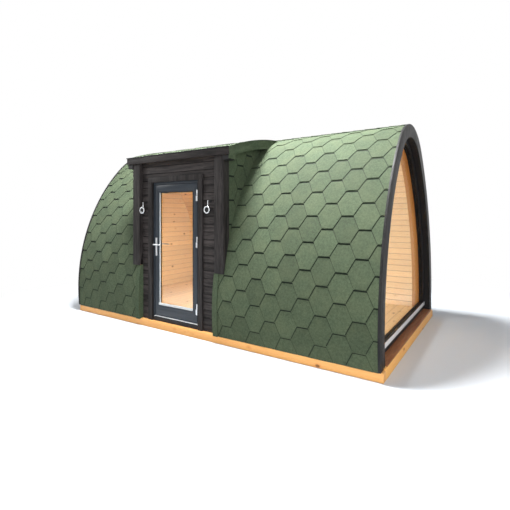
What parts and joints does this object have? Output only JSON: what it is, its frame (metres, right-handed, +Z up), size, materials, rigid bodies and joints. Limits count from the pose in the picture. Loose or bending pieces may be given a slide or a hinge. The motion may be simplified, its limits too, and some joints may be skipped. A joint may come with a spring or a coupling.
{
  "type": "camping pod",
  "caption": "Small timber cabin with a pointed shingled vault on a beam base, a glazed gable end, and a dormer entrance with a hinged glass door and wall lamps in one side.",
  "frame": {"origin": "middle of the base frame at ground level, on the underside of the centre joist", "axes": "+X along the pod to the glazed gable, -Y out of the dormer entrance, +Z up"},
  "size_m": [4.8, 2.8501, 2.635],
  "materials": {
    "larch": "planed natural timber",
    "pine": "clear pine boards",
    "brown_board": "brown stained board",
    "shingles": "green mineral-faced bitumen shingles",
    "black_boards": "black stained boards",
    "black_frame": "black painted timber",
    "glass": "clear sealed unit",
    "bar_metal": "mill finish",
    "door_paint": "anthracite paint",
    "steel": "satin",
    "white_bead": "pale weather bar"
  },
  "bodies": {
    "pod": {"base_beam_front": "larch", "base_beam_back": "larch", "base_beam_left": "larch", "base_beam_right": "larch", "floor_joists": "larch", "floor_deck": "pine", "gable_step": "brown_board", "vault_front_left": "pine", "vault_front_right": "pine", "vault_back": "pine", "cover_front_left": "shingles", "cover_front_right": "shingles", "cover_back": "shingles", "gable_arch": "black_boards", "gable_reveal": "black_boards", "glazing_frame": "black_frame", "gable_glass": "glass", "glazing_bar": "bar_metal", "end_arch": "black_boards", "end_wall": "black_boards", "end_lining": "pine", "dormer_roof": "pine", "dormer_cover": "shingles", "dormer_fascia": "black_boards", "fascia_cap": "black_boards", "dormer_soffits": "black_boards", "cheeks": "pine", "cheek_skins": "shingles", "corner_board_left": "black_boards", "corner_board_right": "black_boards", "edge_strips": "shingles", "wall_left": "black_boards", "wall_right": "black_boards", "wall_head": "black_boards", "door_frame": "door_paint", "door_casing": "black_boards", "threshold": "black_frame", "hinge_frame_halves": "steel", "wall_lamps": "steel"},
    "door": {"door_leaf": "door_paint", "door_glass": "glass", "glazing_beads": "white_bead", "hinge_door_halves": "steel", "handle_plates": "steel"},
    "lever": {"door_lever": "steel"}
  },
  "joints": [
    {"name": "door_hinge", "type": "hinge", "parent": "pod", "child": "door", "pos_m": [0.0855, -1.34228, 1.05], "axis": [0, 0, 1], "range_deg": [0, 100]},
    {"name": "lever_turn", "type": "hinge", "parent": "door", "child": "lever", "pos_m": [-0.662, -1.33428, 1.136], "axis": [0, 1, 0], "range_deg": [0, 40], "stiffness_Nm_per_rad": 2, "springref_deg": -34.38}
  ]
}
